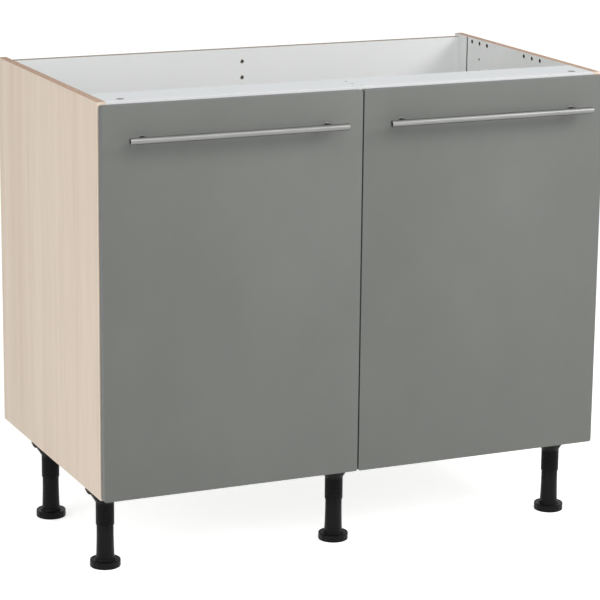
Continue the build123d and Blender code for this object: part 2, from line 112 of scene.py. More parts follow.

# ---- where the finishes of the boards begin and end ---------------------------------------------
FACING = 0.7  # least part of a normal along an axis for a face square to that axis
HIGHLIGHT_STRIP = 2.0  # width of the painted highlight strip along the front corner of the side panels
HIGHLIGHT_STRIP_SHARE = 0.8  # share of the painted highlight colour in that strip
RAIL_CHIP_SHARE = 0.8  # of RAIL_CHIP in the raw edges of the white boards
WHITE_TINT_AND_SHADE_SHARE = 0.75  # of a white board's tint in its colour; for the front rail, painted shade
SKIN = 0.3  # the white foil reaches this far out from the inner face of a side panel
DRILLING_MARGIN = 2.0  # raw board nearer to an edge than this is the cut edge, not a drilling
GROOVE_ZONE = 24.0  # strip along the back edge of a side panel that holds its groove
RAW_ROUGHNESS = 0.85
SIDE_ROUGHNESS = 0.42
WHITE_ROUGHNESS = 0.4

# ---- soft edges ---------------------------------------------------------------------------------
BOARD_BEVEL = 0.35
BAND_BEVEL = 0.25
METAL_BEVEL = 0.12
WELD_REACH = 0.01
BEVEL_FROM = 40.0  # degrees between faces
SHARP_FROM = 35.0

# ---- doors, hinges and handles ------------------------------------------------------------------
HALF_WIDTH = 500.0  # of the unit
BOARD = 16.0  # thickness of the side panels
DOOR_CORNER = 3.0
DOOR_BEVEL = 0.9
CUP_BORE_RADIUS = 17.5
CUP_BORE_DEPTH = 12.7
CUP_FROM_EDGE = 22.5  # from the hinge edge of the door to the cup's axis
BORE_OVERSHOOT = 5  # of the cutter, out of the back of the door
SAME_Y = 1e-6  # metres: nearer than this, both ends of an edge lie in one face of the door
CORNER_STEPS = 6
HINGE_HEIGHTS = (262.0, 758.0)
EAR_FROM_SIDE = 33.5  # cup screws, from the outside of the unit
EAR_THICKNESS = 0.75  # of the cup's flange, on the back of the door
EAR_SPREAD = 22.5  # cup screws, above and below the middle of the hinge
WING_THICKNESS = 3.0  # of the mounting plate's wings, on the side panel
WING_FORWARD = 2.0  # plate screws, in front of the plate's middle
WING_SPREAD = 17  # plate screws, above and below the middle of the hinge
ARM_SCREW_SETBACKS = (12, 34)  # from the back end of the hinge arm
# Ends of the bar and of the dark discs of painted shade set in them: distances from the bar's end,
# and in from its radius.
BAR_END = ((0.9, 1.5), (0, 1.3), (0, 0.7), (0.7, 0))
END_SHADE_DISC = ((0.35, 2.1), (0.9, 1.55), (1.2, 1.55))
POST_FROM_END = 32
POST_RADIUS = 4.5
POST_CHAMFER = 1  # of the end inside the bar
FLANGE = 0.9  # foot of a post, beyond the post's radius
FLANGE_HEIGHT = 1.2
FLANGE_ROUND = 0.3

# ---- screws: radius and height of the head ------------------------------------------------------
CUP_SCREW = (3.4, 1.1)
PLATE_SCREW = (3.6, 1.7)
ARM_SCREW = (3.3, 1.2)
HANDLE_SCREW = (4.25, 2.2)
MOUNT_SCREW = (3.6, 1.6)
HEAD_STEPS = 32
HEAD_SKIRT = (-0.3, 0.9)  # lowest ring: height in millimetres, share of the radius
HEAD_PROFILE = ((0.0, 1.0), (0.45, 0.97), (0.8, 0.86), (1.0, 0.7))  # shares of height and radius
CROSS_REACH = 0.62  # of the head's radius
CROSS_HALF_WIDTH = 0.14  # of the head's radius
CROSS_DEPTH = 0.75  # of the head's height
CROSS_TAPER = 0.7  # size of the recess at its bottom, against its mouth
HEAD_TURN = 0.5  # radians from one screw to the next

# ---- legs: heights and radii of turned shapes, a third value being the depth of grip notches ----
MOUNT_TOP = ((150, 0), (150, 32.4), (149.4, 33), (146, 33), (145.5, 32.5), (145.5, 31),
             (124.5, 17.6), (123.5, 17.3))
SLEEVE_RIDGE = ((0, 17.0), (-1.3, 17.0), (-1.7, 16.4), (-2.2, 16.4))  # from its top down
SLEEVE_RIDGES = {"start": 122, "pitch": -2.6, "count": 15}
MOUNT_BOTTOM = ((83, 17.0), (80.5, 17.0), (80, 16.5), (80, 13.9), (80.5, 13.5), (144, 13.5),
                (144, 0))
MOUNT_RIB = ((17, 123), (32.5, 145.7), (17, 145.7))  # corners: distance from the axis, height
MOUNT_RIBS = 8
MOUNT_RIB_HALF = 1.2  # half a rib's thickness
MOUNT_BOSS = ((146.5, 0), (146.5, 5.2), (144.4, 5.2), (144.0, 4.8), (144.0, 0))
MOUNT_BOSSES = 4
BOSS_FROM_AXIS = 27
TONGUE_START = 15  # from the leg's axis
TONGUE_END = 499  # from the middle of the unit, under the outside of the side panel
MIDDLE_TONGUE = 33  # from the axis of the middle leg to the end of its tongue
LIP = 6  # length of the lip under the end of the tongue
# Blocks of the tongue and its lip: from and to in Y from the leg's axis, heights, bevel.
TONGUE_BLOCK = ((-12, 12), (145.9, 149.98), 0.5)
LIP_BLOCKS = (((-9, 15), (144.4, 149.95), 0.9), ((-7, 9), (141.6, 146), 1.2))
TUBE = ((13.5, 0), (13.5, 17.4), (18, 17.0), (26, 16.6), (40, 16.1), (60, 15.7), (78.6, 15.6),
        (79.7, 15.0), (79.7, 12.6))
THREAD_TURN = ((0, 12.6), (0.8, 13.2), (1.6, 13.2), (2.4, 12.6))  # from its bottom up
THREAD_TURNS = {"start": 82, "pitch": 3.0, "count": 19}
STEM_TOP = ((143, 12.6), (143.7, 12), (143.7, 0))
FOOT = ((0, 0), (0, 26.8), (0.6, 27.8), (1.4, 28.2), (2.0, 28.2), (2.2, 28.2, 0.9),
        (10.2, 28.2, 0.9), (10.4, 28.2), (12.2, 28.2), (13.0, 27.8), (13.4, 27.0), (13.4, 26.0),
        (12.6, 25.2), (12.6, 20.4), (13.2, 19.6), (15.6, 19.0), (16.4, 18.6), (16.4, 17.8),
        (12, 17.8), (12, 0))
FOOT_NOTCHES = 12
NOTCH_SHARPNESS = 8

# ---- steps around turned shapes -----------------------------------------------------------------
ROUND_STEPS = 64
SMALL_STEPS = 40
BOSS_STEPS = 24
FOOT_STEPS = 144


def linear(colour):
    """RGBA in linear light for an 8-bit display colour."""
    parts = [part / 255 for part in colour]
    lit = [part / 12.92 if part <= 0.04045 else ((part + 0.055) / 1.055) ** 2.4 for part in parts]
    return lit + [1.0]


# ---- materials ----------------------------------------------------------------------------------
class Graph:
    """Shader nodes of one material, added by short calls that return output sockets."""

    def __init__(self, name, roughness, specular=0.5, metallic=0.0):
        self.material = bpy.data.materials.new(name)
        self.material.use_nodes = True
        self.tree = self.material.node_tree
        self.shader = self.tree.nodes["Principled BSDF"]
        self.shader.inputs["Roughness"].default_value = roughness
        self.shader.inputs["Specular IOR Level"].default_value = specular
        self.shader.inputs["Metallic"].default_value = metallic
        self.place = self.tree.nodes.new("ShaderNodeTexCoord").outputs["Object"]
        self.normal = self.tree.nodes.new("ShaderNodeTexCoord").outputs["Normal"]

    def add(self, kind, inputs, output, **settings):
        """New node: settings are its properties, inputs go to its sockets by name or number."""
        node = self.tree.nodes.new(kind)
        for key, value in settings.items():
            setattr(node, key, value)
        for key, value in inputs.items():
            if isinstance(value, bpy.types.NodeSocket):
                self.tree.links.new(value, node.inputs[key])
            else:
                node.inputs[key].default_value = value
        return node.outputs[output]

    def math(self, operation, first, second=0.0):
        return self.add("ShaderNodeMath", {0: first, 1: second}, 0, operation=operation)

    def stretched(self, scale):
        """Object coordinates multiplied by a scale per axis."""
        inputs = {0: self.place, 1: scale}
        return self.add("ShaderNodeVectorMath", inputs, 0, operation="MULTIPLY")

    def noise(self, scale, detail=4.0, roughness=0.55, distortion=0.0):
        """Noise with features per metre along each axis."""
        inputs = {"Vector": self.stretched(scale), "Scale": 1.0, "Detail": detail,
                  "Roughness": roughness, "Distortion": distortion}
        return self.add("ShaderNodeTexNoise", inputs, "Fac")

    def flecks(self, scale):
        """Cell pattern with a random value per cell."""
        inputs = {"Vector": self.stretched(scale), "Scale": 1.0}
        cells = self.add("ShaderNodeTexVoronoi", inputs, "Color")
        return self.add("ShaderNodeSeparateColor", {0: cells}, 0)

    def ramp(self, factor, low, high, start=0.3, end=0.7):
        """Colour that goes from low to high as the factor goes from start to end."""
        inputs = {"Value": factor, "From Min": start, "From Max": end}
        return self.mix(self.add("ShaderNodeMapRange", inputs, 0), low, high)

    def mix(self, factor, first, second):
        """Mix of two 8-bit colours or colour sockets."""
        sides = [part if isinstance(part, bpy.types.NodeSocket) else linear(part)
                 for part in (first, second)]
        return self.add("ShaderNodeMix", {0: factor, 6: sides[0], 7: sides[1]}, 2, data_type="RGBA")

    def part(self, vector, axis):
        """One part of a vector socket."""
        return self.add("ShaderNodeSeparateXYZ", {0: vector}, axis)

    def faces(self, axis):
        """1 on faces square to an axis, either way round."""
        along = self.math("ABSOLUTE", self.part(self.normal, axis))
        return self.math("GREATER_THAN", along, FACING)

    def between(self, low, high, value):
        """Value mapped from 0..1 to low..high."""
        return self.add("ShaderNodeMapRange", {"Value": value, "To Min": low, "To Max": high}, 0)

    def board_roughness(self, covered, foil):
        """Roughness of the foil where a board is covered, and of raw board elsewhere."""
        smoother = self.math("MULTIPLY", covered, RAW_ROUGHNESS - foil)
        return self.math("SUBTRACT", RAW_ROUGHNESS, smoother)

    def finish(self, colour, roughness, height, depth, strength):
        """Links colour, roughness and a bump of the given depth in millimetres."""
        inputs = {"Strength": strength, "Distance": depth * MM, "Height": height}
        bump = self.add("ShaderNodeBump", inputs, 0)
        for socket, name in ((colour, "Base Color"), (roughness, "Roughness"), (bump, "Normal")):
            self.tree.links.new(socket, self.shader.inputs[name])
        return self.material


def chip_colour(graph):
    """Raw chipboard: light and dark shavings in glue."""
    base = graph.ramp(graph.noise((260, 260, 260), detail=5.0), CHIP_DARK, CHIP_LIGHT)
    cells = graph.ramp(graph.flecks((420, 420, 420)), CHIP_DARK, CHIP_LIGHT, 0.1, 0.9)
    body = graph.mix(0.45, base, cells)
    return graph.mix(0.35, body, CHIP_MID)


def wood_colour(graph):
    """Printed wood grain that runs up the board: broad soft bands, fine streaks and short pores.

    Returns the colour and the streaks, which also serve as a height.
    """
    bands = graph.noise((14, 19, 0.7), detail=3.0, distortion=0.6)
    streaks = graph.noise((300, 300, 5.0), detail=5.0, roughness=0.6)
    pores = graph.noise((900, 900, 26.0), detail=2.0)
    broad = graph.ramp(bands, WOOD_DARK, WOOD_LIGHT, 0.28, 0.62)
    fine = graph.ramp(streaks, WOOD_DARK, WOOD_LIGHT, 0.32, 0.6)
    body = graph.mix(0.45, broad, fine)
    body = graph.mix(0.35, body, WOOD_MID)
    pore_mask = graph.math("MULTIPLY", graph.math("GREATER_THAN", pores, 0.66), 0.35)
    return graph.mix(pore_mask, body, WOOD_DARK), streaks


def white_colour(graph):
    """White melamine with a faint mottle."""
    return graph.ramp(graph.noise((9, 9, 9), detail=3.0), WHITE_DARK, WHITE_LIGHT)


def pearl(graph):
    """Fine pearl texture of melamine foil, as a height."""
    return graph.noise((1500, 1500, 1500), detail=2.0)


def drilling_shade_mask(graph, node):
    """1 well inside a panel's edges and in front of its groove.

    Only the drillings show raw board there; this mask darkens them with painted shade.
    """
    low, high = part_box(node)
    margin = DRILLING_MARGIN * MM
    up, back = graph.part(graph.place, 2), graph.part(graph.place, 1)
    inner = 1.0
    for value, start, end in ((up, low.z + margin, high.z - margin),
                              (back, low.y + margin, high.y - GROOVE_ZONE * MM)):
        for operation, limit in (("GREATER_THAN", start), ("LESS_THAN", end)):
            inner = graph.math("MULTIPLY", inner, graph.math(operation, value, limit))
    return inner


def side_board(name, side):
    """Wood grain outside, white inside, raw board on the cut edges, painted shade in the drillings.
    """
    graph = Graph(f"{name}_side_board", roughness=SIDE_ROUGHNESS, specular=0.4)
    panel = f"{name}_side_panel"
    chip = chip_colour(graph)
    wood, streaks = wood_colour(graph)
    across = graph.math("MULTIPLY", graph.part(graph.normal, 0), float(side))
    outside = graph.math("GREATER_THAN", across, FACING)
    inward = graph.math("LESS_THAN", across, -FACING)
    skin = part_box("bottom_panel")[1].x + SKIN * MM
    distance = graph.math("MULTIPLY", graph.part(graph.place, 0), float(side))
    inside = graph.math("MULTIPLY", inward, graph.math("LESS_THAN", distance, skin))
    # Painted shade: the raw board inside the drillings is darkened as if by the shade in the holes.
    chip = graph.mix(drilling_shade_mask(graph, panel), chip, DRILLING_SHADE)
    colour = graph.mix(inside, chip, white_colour(graph))
    # Painted highlight: a lighter strip along the front corner, where the rounded edge would catch
    # light.
    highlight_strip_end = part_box(panel)[0].y + HIGHLIGHT_STRIP * MM
    front = graph.math("LESS_THAN", graph.part(graph.place, 1), highlight_strip_end)
    wood = graph.mix(graph.math("MULTIPLY", front, HIGHLIGHT_STRIP_SHARE), wood, WOOD_HIGHLIGHT)
    colour = graph.mix(outside, colour, wood)
    covered = graph.math("MAXIMUM", inside, outside)
    height = graph.math("ADD", streaks, graph.math("MULTIPLY", pearl(graph), 0.4))
    rough = graph.board_roughness(covered, SIDE_ROUGHNESS)
    return graph.finish(colour, rough, height, depth=0.06, strength=0.35)


def white_board(node, axis, tint_and_shade):
    """White melamine on the two faces square to the axis, raw board on the others."""
    graph = Graph(f"white_board_{node}", roughness=WHITE_ROUGHNESS, specular=0.45)
    covered = graph.faces(axis)
    chip = graph.mix(RAIL_CHIP_SHARE, chip_colour(graph), RAIL_CHIP)
    white = graph.mix(WHITE_TINT_AND_SHADE_SHARE, white_colour(graph), tint_and_shade)
    colour = graph.mix(covered, chip, white)
    rough = graph.board_roughness(covered, WHITE_ROUGHNESS)
    return graph.finish(colour, rough, pearl(graph), depth=0.03, strength=0.3)


def band(name, light, dark, grain):
    """Thin plastic edge band with a faint grain along its length."""
    graph = Graph(name, roughness=0.38, specular=0.45)
    streaks = graph.noise(grain, detail=3.0)
    colour = graph.ramp(streaks, dark, light)
    rough = graph.between(0.32, 0.46, streaks)
    return graph.finish(colour, rough, streaks, depth=0.02, strength=0.25)


def door_finish():
    """Satin grey board: a faint mottle, a fine skin texture and edges darkened with painted shade.
    """
    graph = Graph("door_grey", roughness=0.4, specular=0.35)
    mottle = graph.noise((7, 7, 5), detail=5.0, roughness=0.6)
    body = graph.ramp(mottle, GREY_DARK, GREY_LIGHT)
    # Painted shade: the edges are darker than the face, as the shade in the gaps beside the doors.
    edge = graph.ramp(graph.noise((240, 240, 30)), GREY_EDGE_SHADE, GREY_EDGE_SHADE_LIGHT)
    colour = graph.mix(graph.faces(1), edge, body)
    skin = graph.noise((900, 900, 900), detail=3.0)
    rough = graph.between(0.34, 0.48, graph.noise((60, 60, 60)))
    return graph.finish(colour, rough, skin, depth=0.04, strength=0.25)


def brushed_steel():
    """Steel bar brushed along its length: long fine scratches and a soft streak in the gloss."""
    graph = Graph("brushed_steel", roughness=0.42, metallic=1.0)
    graph.shader.inputs["Specular Tint"].default_value = linear(STEEL_EDGE)
    scratches = graph.noise((12, 2600, 2600), roughness=0.7)
    patches = graph.noise((16, 90, 90), detail=3.0)
    colour = graph.ramp(scratches, STEEL_DARK, STEEL_LIGHT, 0.25, 0.75)
    colour = graph.mix(graph.math("MULTIPLY", patches, 0.3), colour, STEEL_DARK)
    rough = graph.between(0.36, 0.54, scratches)
    return graph.finish(colour, rough, scratches, depth=0.03, strength=0.4)


def plated(name, light, dark, grain, rough_low, rough_high):
    """Pressed or cast metal with a fine uneven gloss."""
    graph = Graph(name, roughness=rough_low, metallic=1.0)
    blotch = graph.noise((180, 180, 180))
    fine = graph.noise((grain, grain, grain), detail=3.0)
    colour = graph.ramp(blotch, dark, light)
    rough = graph.between(rough_low, rough_high, blotch)
    return graph.finish(colour, rough, fine, depth=0.03, strength=0.35)


def black_plastic():
    """Moulded black plastic: fine spark texture, faint flow marks and a soft gloss."""
    graph = Graph("black_plastic", roughness=0.34, specular=0.11)
    flow = graph.noise((60, 60, 14), distortion=0.4)
    spark = graph.noise((1900, 1900, 1900), detail=2.0)
    colour = graph.ramp(flow, BLACK_DARK, BLACK_LIGHT)
    rough = graph.between(0.28, 0.46, flow)
    return graph.finish(colour, rough, spark, depth=0.05, strength=0.3)


def end_shade_finish():
    """Nearly black finish of the discs in the ends of the handle bars: painted shade."""
    graph = Graph("painted_end_shade", roughness=0.6, specular=0.3)
    speckle = graph.noise((1200, 1200, 1200), detail=2.0)
    colour = graph.ramp(speckle, END_SHADE_DARK, END_SHADE_LIGHT)
    rough = graph.between(0.5, 0.7, speckle)
    return graph.finish(colour, rough, speckle, depth=0.03, strength=0.5)


# ---- mesh helpers -------------------------------------------------------------------------------
def stance(place, axis):
    """Transform that puts the origin at a place and turns Z to an axis."""
    turn = Vector(axis).to_track_quat("Z", "Y").to_matrix().to_4x4()
    return Matrix.Translation(Vector(place)) @ turn


def lathe(mesh, profile, place, axis=(0, 0, 1), steps=ROUND_STEPS):
    """Turned shape about an axis through a place; profile is (distance, radius) in millimetres.

    A radius of 0 closes an end. A third value is the depth of the grip notches in that ring.
    """
    turn = stance(place, axis)
    rings = []
    for distance, radius, *notch in profile:
        if radius == 0:
            rings.append([mesh.verts.new(turn @ Vector((0, 0, distance * MM)))])
            continue
        ring = []
        for step in range(steps):
            angle = 2 * pi * step / steps
            dip = (0.5 + 0.5 * cos(FOOT_NOTCHES * angle)) ** NOTCH_SHARPNESS
            reach = radius - sum(notch) * dip
            spot = Vector((reach * cos(angle) * MM, reach * sin(angle) * MM, distance * MM))
            ring.append(mesh.verts.new(turn @ spot))
        rings.append(ring)
    for low, high in zip(rings, rings[1:]):
        for step in range(steps):
            after = (step + 1) % steps
            corners = (low[step % len(low)], low[after % len(low)],
                       high[after % len(high)], high[step % len(high)])
            mesh.faces.new(list(dict.fromkeys(corners)))


def repeated(shape, start, pitch, count):
    """Profile of a shape that repeats along the axis."""
    return [(start + step * pitch + distance, radius)
            for step in range(count) for distance, radius in shape]


def block(mesh, low, high, bevel):
    """Box between two corners in metres, with its edges rounded over by bevel millimetres."""
    made = bmesh.ops.create_cube(mesh, size=1.0)["verts"]
    size = Vector(high) - Vector(low)
    middle = (Vector(high) + Vector(low)) / 2
    for vert in made:
        vert.co = Vector([part * size[index] for index, part in enumerate(vert.co)]) + middle
    edges = {edge for vert in made for edge in vert.link_edges}
    bmesh.ops.bevel(mesh, geom=list(edges), offset=bevel * MM, segments=2, profile=0.5,
                    affect="EDGES")


def prism(mesh, outline, push):
    """Flat outline of points in metres pushed along a vector into a closed solid."""
    base = [mesh.verts.new(Vector(point)) for point in outline]
    top = [mesh.verts.new(Vector(point) + Vector(push)) for point in outline]
    mesh.faces.new(base)
    mesh.faces.new(list(reversed(top)))
    for index in range(len(base)):
        after = (index + 1) % len(base)
        mesh.faces.new([base[after], base[index], top[index], top[after]])


def smooth_by_angle(mesh_data):
    """Smooth shading, with sharp edges kept where faces meet at more than the limit."""
    for polygon in mesh_data.polygons:
        polygon.use_smooth = True
    mesh_data.set_sharp_from_angle(angle=radians(SHARP_FROM))


def placed(name, mesh):
    """Object in the scene made of a bmesh, which is freed."""
    data = bpy.data.meshes.new(name)
    mesh.to_mesh(data)
    mesh.free()
    made = bpy.data.objects.new(name, data)
    bpy.context.scene.collection.objects.link(made)
    return made


def piece(name, mesh, material, body):
    """Turns a bmesh into an object that rides on a body and takes its finish from a slot."""
    bmesh.ops.recalc_face_normals(mesh, faces=mesh.faces)
    made = placed(name, mesh)
    smooth_by_angle(made.data)
    made.data.materials.append(material)
    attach(made, body)
    return made


def apply_modifiers(made):
    """Replaces an object's mesh with what its modifiers give."""
    graph = bpy.context.evaluated_depsgraph_get()
    data = bpy.data.meshes.new_from_object(made.evaluated_get(graph))
    made.modifiers.clear()
    made.data = data
    smooth_by_angle(data)


def dress(node, material, bevel):
    """Gives a CAD node its material, and soft edges by modifiers that leave its mesh alone."""
    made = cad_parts[node]
    made.data.materials.clear()
    made.data.materials.append(material)
    weld = made.modifiers.new("weld", "WELD")
    weld.merge_threshold = WELD_REACH * MM
    soft = made.modifiers.new("soft_edges", "BEVEL")
    soft.width = bevel * MM
    soft.segments = 2
    soft.limit_method = "ANGLE"
    soft.angle_limit = radians(BEVEL_FROM)
    soft.harden_normals = False


# ---- doors and handles --------------------------------------------------------------------------
def rounded_outline(low, high, radius, y):
    """Points of a rectangle in X and Z whose corners are arcs, at one Y."""
    points = []
    corners = ((high.x - radius, high.z - radius, 0), (low.x + radius, high.z - radius, 90),
               (low.x + radius, low.z + radius, 180), (high.x - radius, low.z + radius, 270))
    for x, z, start in corners:
        for step in range(CORNER_STEPS + 1):
            angle = radians(start + 90 * step / CORNER_STEPS)
            points.append((x + radius * cos(angle), y, z + radius * sin(angle)))
    return points


def cup_bores(edge_x, back_y, side):
    """Object that cuts the two cup bores out of a door."""
    mesh = bmesh.new()
    profile = [(-CUP_BORE_DEPTH, 0), (-CUP_BORE_DEPTH, CUP_BORE_RADIUS),
               (BORE_OVERSHOOT, CUP_BORE_RADIUS), (BORE_OVERSHOOT, 0)]
    for height in HINGE_HEIGHTS:
        place = (edge_x - side * CUP_FROM_EDGE * MM, back_y, height * MM)
        lathe(mesh, profile, place, axis=(0, 1, 0))
    bmesh.ops.recalc_face_normals(mesh, faces=mesh.faces)
    return placed("bore_cutter", mesh)


def build_door(name, side, material):
    """Door board with softened edges and corners, and the two cup bores in its back."""
    low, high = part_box(f"{name}_door_edge_band")
    mesh = bmesh.new()
    outline = rounded_outline(low, high, DOOR_CORNER * MM, low.y)
    prism(mesh, outline, (0, high.y - low.y, 0))
    rims = [edge for edge in mesh.edges
            if abs(edge.verts[0].co.y - edge.verts[1].co.y) < SAME_Y]
    bmesh.ops.bevel(mesh, geom=rims, offset=DOOR_BEVEL * MM, segments=3, profile=0.5,
                    affect="EDGES")
    door = piece(f"{name}_door_board", mesh, material, f"{name}_door")
    cutter = cup_bores(high.x if side > 0 else low.x, high.y, side)
    bore = door.modifiers.new("bores", "BOOLEAN")
    bore.object = cutter
    bore.solver = "EXACT"
    apply_modifiers(door)
    bpy.data.objects.remove(cutter)
    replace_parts(door, f"{name}_door_panel", f"{name}_door_edge_band")


def post_places(name):
    """X of a handle's two posts."""
    low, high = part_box(f"{name}_handle")
    return low.x + POST_FROM_END * MM, high.x - POST_FROM_END * MM


def build_handle(name, steel, end_shade):
    """Round bar with chamfered ends on two posts with small feet; painted shade as dark discs in
    its ends.
    """
    low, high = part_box(f"{name}_handle")
    door_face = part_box(f"{name}_door_edge_band")[0].y
    height = (low.z + high.z) / 2
    radius = (high.z - low.z) / 2 / MM
    length = (high.x - low.x) / MM
    bar_y = low.y + radius * MM
    mesh = bmesh.new()
    near = [(BAR_END[0][0], 0)] + [(distance, radius - inset) for distance, inset in BAR_END]
    far = [(length - distance, reach) for distance, reach in reversed(near)]
    lathe(mesh, near + far, (low.x, bar_y, height), axis=(1, 0, 0))
    stand = (door_face - bar_y) / MM
    flange = POST_RADIUS + FLANGE
    post = [(0, 0), (0, flange - FLANGE_ROUND), (FLANGE_ROUND, flange),
            (FLANGE_HEIGHT - FLANGE_ROUND, flange), (FLANGE_HEIGHT, POST_RADIUS),
            (stand - POST_CHAMFER, POST_RADIUS), (stand, POST_RADIUS - POST_CHAMFER), (stand, 0)]
    for x in post_places(name):
        lathe(mesh, post, (x, door_face, height), axis=(0, -1, 0), steps=SMALL_STEPS)
    handle = piece(f"{name}_bar_handle", mesh, steel, f"{name}_door")
    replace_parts(handle, f"{name}_handle")
    # Painted shade: nearly black discs set in the recessed ends of the bar.
    shade_discs = bmesh.new()
    shade_disc = [(END_SHADE_DISC[0][0], 0), *((distance, radius - inset) for distance, inset in END_SHADE_DISC),
            (END_SHADE_DISC[-1][0], 0)]
    for x, way in ((low.x, 1), (high.x, -1)):
        lathe(shade_discs, shade_disc, (x, bar_y, height), axis=(way, 0, 0), steps=SMALL_STEPS)
    piece(f"{name}_handle_end_shades", shade_discs, end_shade, f"{name}_door")


# ---- screws -------------------------------------------------------------------------------------
def screw_head(mesh, place, axis, radius, height, turn):
    """Pan head with a tapered cross recess, standing on a surface at a place."""
    pose = stance(place, axis) @ Matrix.Rotation(turn, 4, "Z") @ Matrix.Scale(MM, 4)
    angles = [2 * pi * step / HEAD_STEPS for step in range(HEAD_STEPS)]
    profile = [(HEAD_SKIRT[0], radius * HEAD_SKIRT[1])]
    profile += [(height * up, radius * out) for up, out in HEAD_PROFILE]
    rings = [[mesh.verts.new(pose @ Vector((reach * cos(angle), reach * sin(angle), distance)))
              for angle in angles] for distance, reach in profile]
    for low, high in zip(rings, rings[1:]):
        for step in range(HEAD_STEPS):
            after = (step + 1) % HEAD_STEPS
            mesh.faces.new([low[step], low[after], high[after], high[step]])
    mesh.faces.new(list(reversed(rings[0])))

    arm, half = radius * CROSS_REACH, radius * CROSS_HALF_WIDTH
    corners = [(arm, -half), (arm, half), (half, half), (half, arm), (-half, arm), (-half, half),
               (-arm, half), (-arm, -half), (-half, -half), (-half, -arm), (half, -arm),
               (half, -half)]
    bottom = height - height * CROSS_DEPTH
    mouth = [mesh.verts.new(pose @ Vector((x, y, height))) for x, y in corners]
    floor = [mesh.verts.new(pose @ Vector((x * CROSS_TAPER, y * CROSS_TAPER, bottom)))
             for x, y in corners]
    following = [(index + 1) % len(corners) for index in range(len(corners))]
    rim = [mesh.edges.new((mouth[index], mouth[after])) for index, after in enumerate(following)]
    outer = [mesh.edges.get((rings[-1][step], rings[-1][(step + 1) % HEAD_STEPS]))
             for step in range(HEAD_STEPS)]
    bmesh.ops.triangle_fill(mesh, use_beauty=True, edges=outer + rim)
    lids = [face for face in mesh.faces
            if len(face.verts) == 3 and all(vert in mouth for vert in face.verts)]
    for face in lids:
        mesh.faces.remove(face)
    for index, after in enumerate(following):
        mesh.faces.new([mouth[index], mouth[after], floor[after], floor[index]])
    mesh.faces.new(floor)


def screws(name, places, size, material, body):
    """One piece with a screw head at each (place, axis)."""
    mesh = bmesh.new()
    for count, (place, axis) in enumerate(places):
        screw_head(mesh, place, axis, *size, turn=HEAD_TURN * count)
    piece(name, mesh, material, body)


def hinge_fasteners(name, side, material):
    """Cup screws in the flange ears, wing screws in the plates and adjusting screws on the arms."""
    plate_low, plate_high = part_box(f"{name}_hinge_plates")
    arm_low, arm_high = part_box(f"{name}_hinge_arms")
    inward = (-side, 0, 0)
    ear_x = side * (HALF_WIDTH - EAR_FROM_SIDE) * MM
    ear_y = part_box(f"{name}_door_edge_band")[1].y + EAR_THICKNESS * MM
    wing_x = side * (HALF_WIDTH - BOARD - WING_THICKNESS) * MM
    wing_y = (plate_low.y + plate_high.y) / 2 - WING_FORWARD * MM
    arm_x = arm_low.x if side > 0 else arm_high.x
    cups, wings, arms = [], [], []
    for height in HINGE_HEIGHTS:
        for end in (-1, 1):
            cups.append(((ear_x, ear_y, (height + end * EAR_SPREAD) * MM), (0, 1, 0)))
            wings.append(((wing_x, wing_y, (height + end * WING_SPREAD) * MM), inward))
        for setback in ARM_SCREW_SETBACKS:
            arms.append(((arm_x, arm_high.y - setback * MM, height * MM), inward))
    screws(f"{name}_cup_screws", cups, CUP_SCREW, material, f"{name}_door")
    screws(f"{name}_plate_screws", wings, PLATE_SCREW, material, "carcass")
    screws(f"{name}_arm_screws", arms, ARM_SCREW, material, "carcass")


def handle_screws(name, material):
    """Heads of the handle's screws on the back of the door."""
    low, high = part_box(f"{name}_handle")
    door_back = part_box(f"{name}_door_edge_band")[1].y
    height = (low.z + high.z) / 2
    places = [((x, door_back, height), (0, 1, 0)) for x in post_places(name)]
    screws(f"{name}_handle_screws", places, HANDLE_SCREW, material, f"{name}_door")


# ---- legs ---------------------------------------------------------------------------------------
def leg_axis(name):
    """X and Y of a leg's axis."""
    low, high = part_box(f"{name}_leg_foot")
    return (low.x + high.x) / 2, (low.y + high.y) / 2


def boss_places(name):
    """X and Y of the screw bosses of a leg's mount."""
    x, y = leg_axis(name)
    angles = [radians(45 + 90 * quarter) for quarter in range(MOUNT_BOSSES)]
    reach = BOSS_FROM_AXIS * MM
    return [(x + reach * cos(angle), y + reach * sin(angle)) for angle in angles]


def build_leg_mount(mesh, name, side):
    """Plate with bosses and ribs, tongue with its lip, funnel, collar and ridged sleeve."""
    x, y = leg_axis(name)
    ridges = repeated(SLEEVE_RIDGE, **SLEEVE_RIDGES)
    lathe(mesh, [*MOUNT_TOP, *ridges, *MOUNT_BOTTOM], (x, y, 0))
    for rib in range(MOUNT_RIBS):
        angle = 2 * pi * (rib + 0.5) / MOUNT_RIBS
        way = Vector((cos(angle), sin(angle), 0))
        across = Vector((-sin(angle), cos(angle), 0)) * MOUNT_RIB_HALF * MM
        outline = [Vector((x, y, z * MM)) + way * reach * MM - across for reach, z in MOUNT_RIB]
        prism(mesh, outline, across * 2)
    for spot_x, spot_y in boss_places(name):
        lathe(mesh, MOUNT_BOSS, (spot_x, spot_y, 0), steps=BOSS_STEPS)

    tip = x - MIDDLE_TONGUE * MM if name == "front_middle" else side * TONGUE_END * MM
    tongue = sorted((tip, x + side * TONGUE_START * MM))
    lip = sorted((tip, tip - side * LIP * MM))
    for (left, right), shape in ((tongue, TONGUE_BLOCK), *((lip, shape) for shape in LIP_BLOCKS)):
        (front, back), (bottom, top), bevel = shape
        block(mesh, (left, y + front * MM, bottom * MM), (right, y + back * MM, top * MM), bevel)


